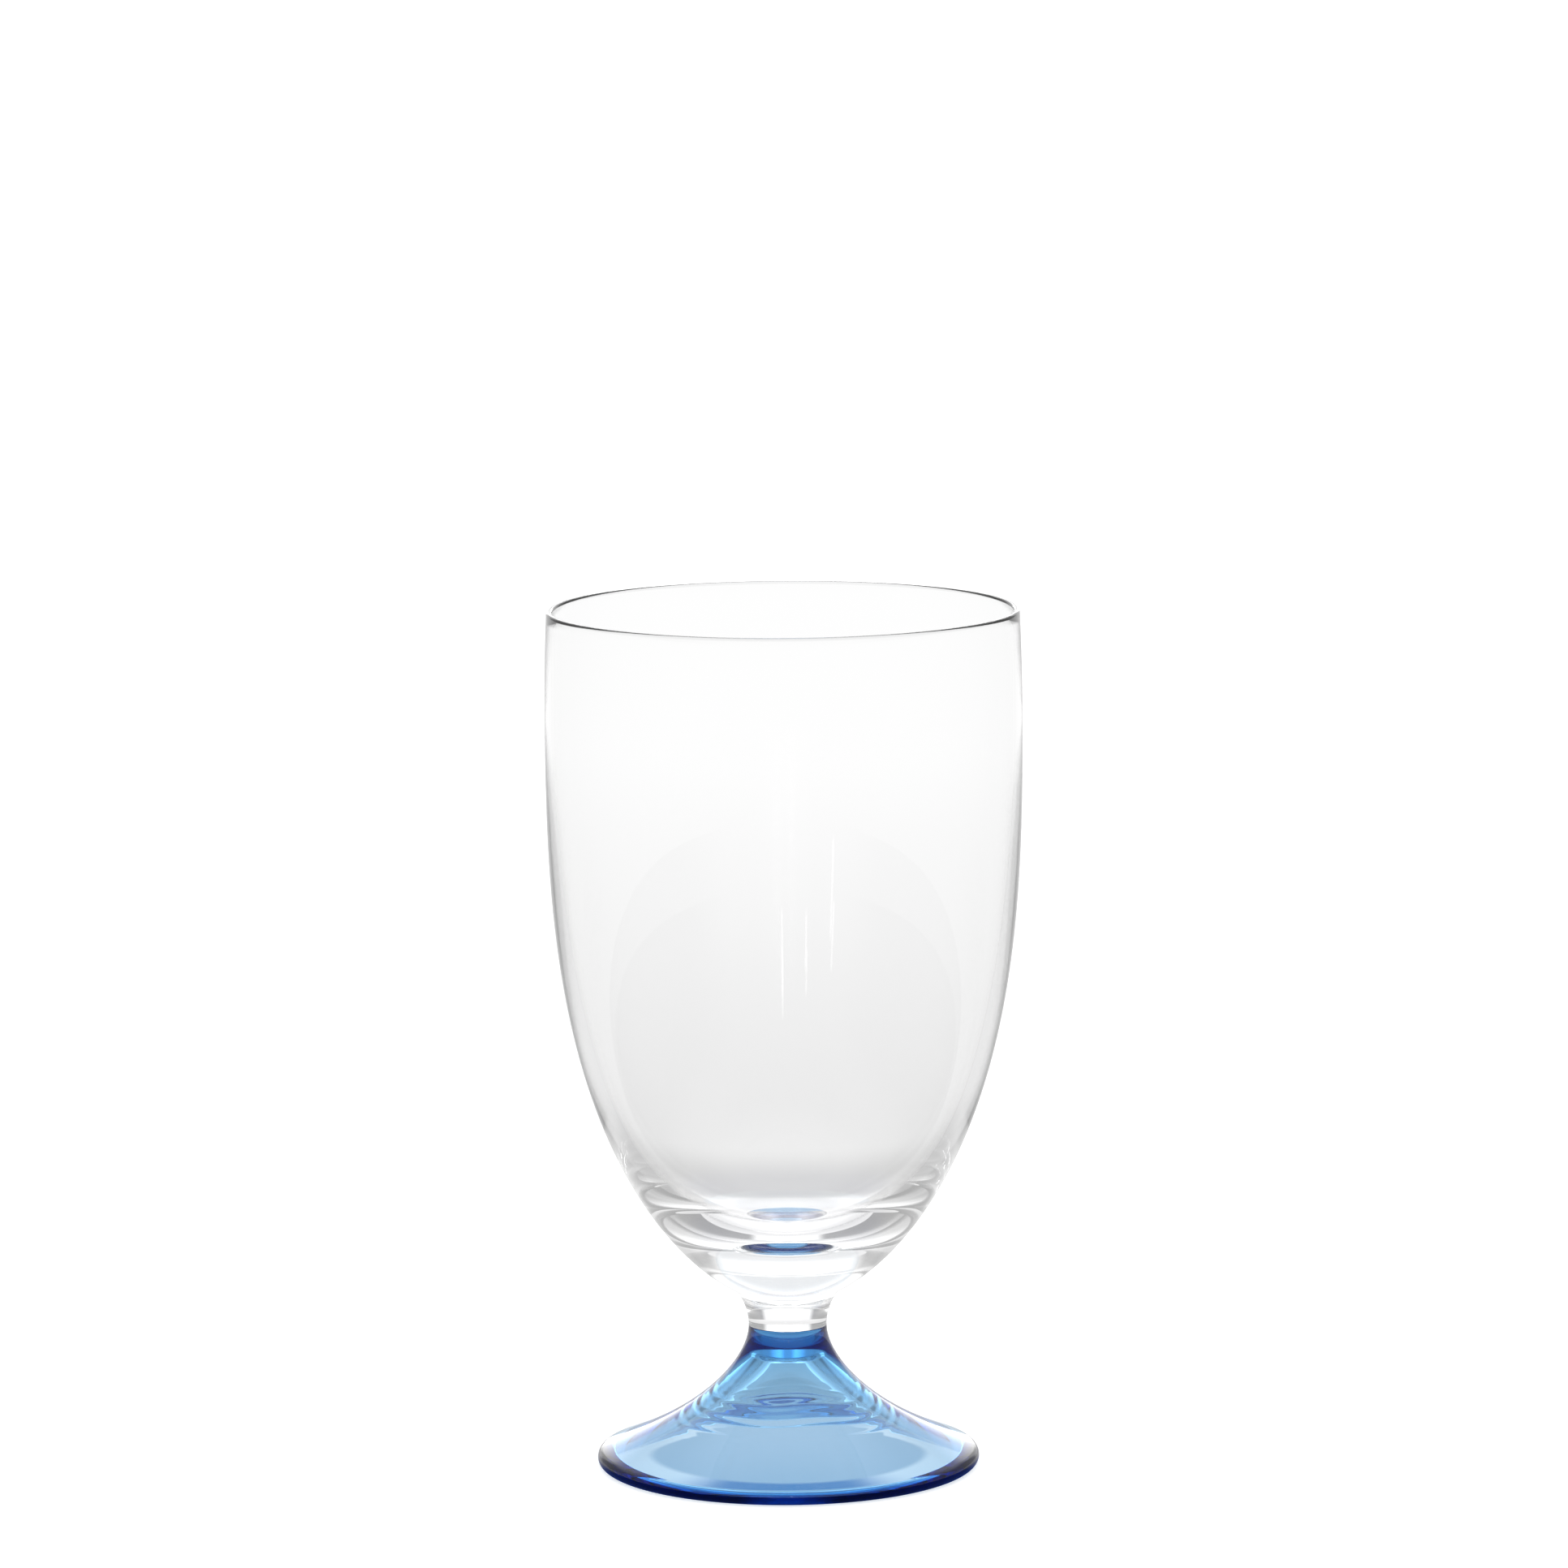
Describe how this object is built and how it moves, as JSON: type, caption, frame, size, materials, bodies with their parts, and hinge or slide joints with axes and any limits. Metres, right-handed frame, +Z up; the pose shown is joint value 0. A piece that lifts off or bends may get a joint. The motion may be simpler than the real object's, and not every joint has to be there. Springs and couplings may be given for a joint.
{
  "type": "water glass",
  "caption": "Footed water glass: a clear, egg-shaped blown bowl with a thick floor on a short clear stem, joined to a hollow blue trumpet foot.",
  "frame": {"origin": "on the table, at the centre of the foot's flat standing ring", "axes": "+Z up along the glass's axis of revolution, from the foot to the rim; X and Y are any two level directions at right angles"},
  "size_m": [0.0808, 0.0808, 0.1473],
  "materials": {
    "clear_glass": "clear soda-lime glass, fire-polished",
    "blue_glass": "transparent blue glass coloured through, fire-polished"
  },
  "bodies": {
    "root": {"bowl": "clear_glass", "stem": "clear_glass", "foot": "blue_glass"}
  },
  "joints": []
}
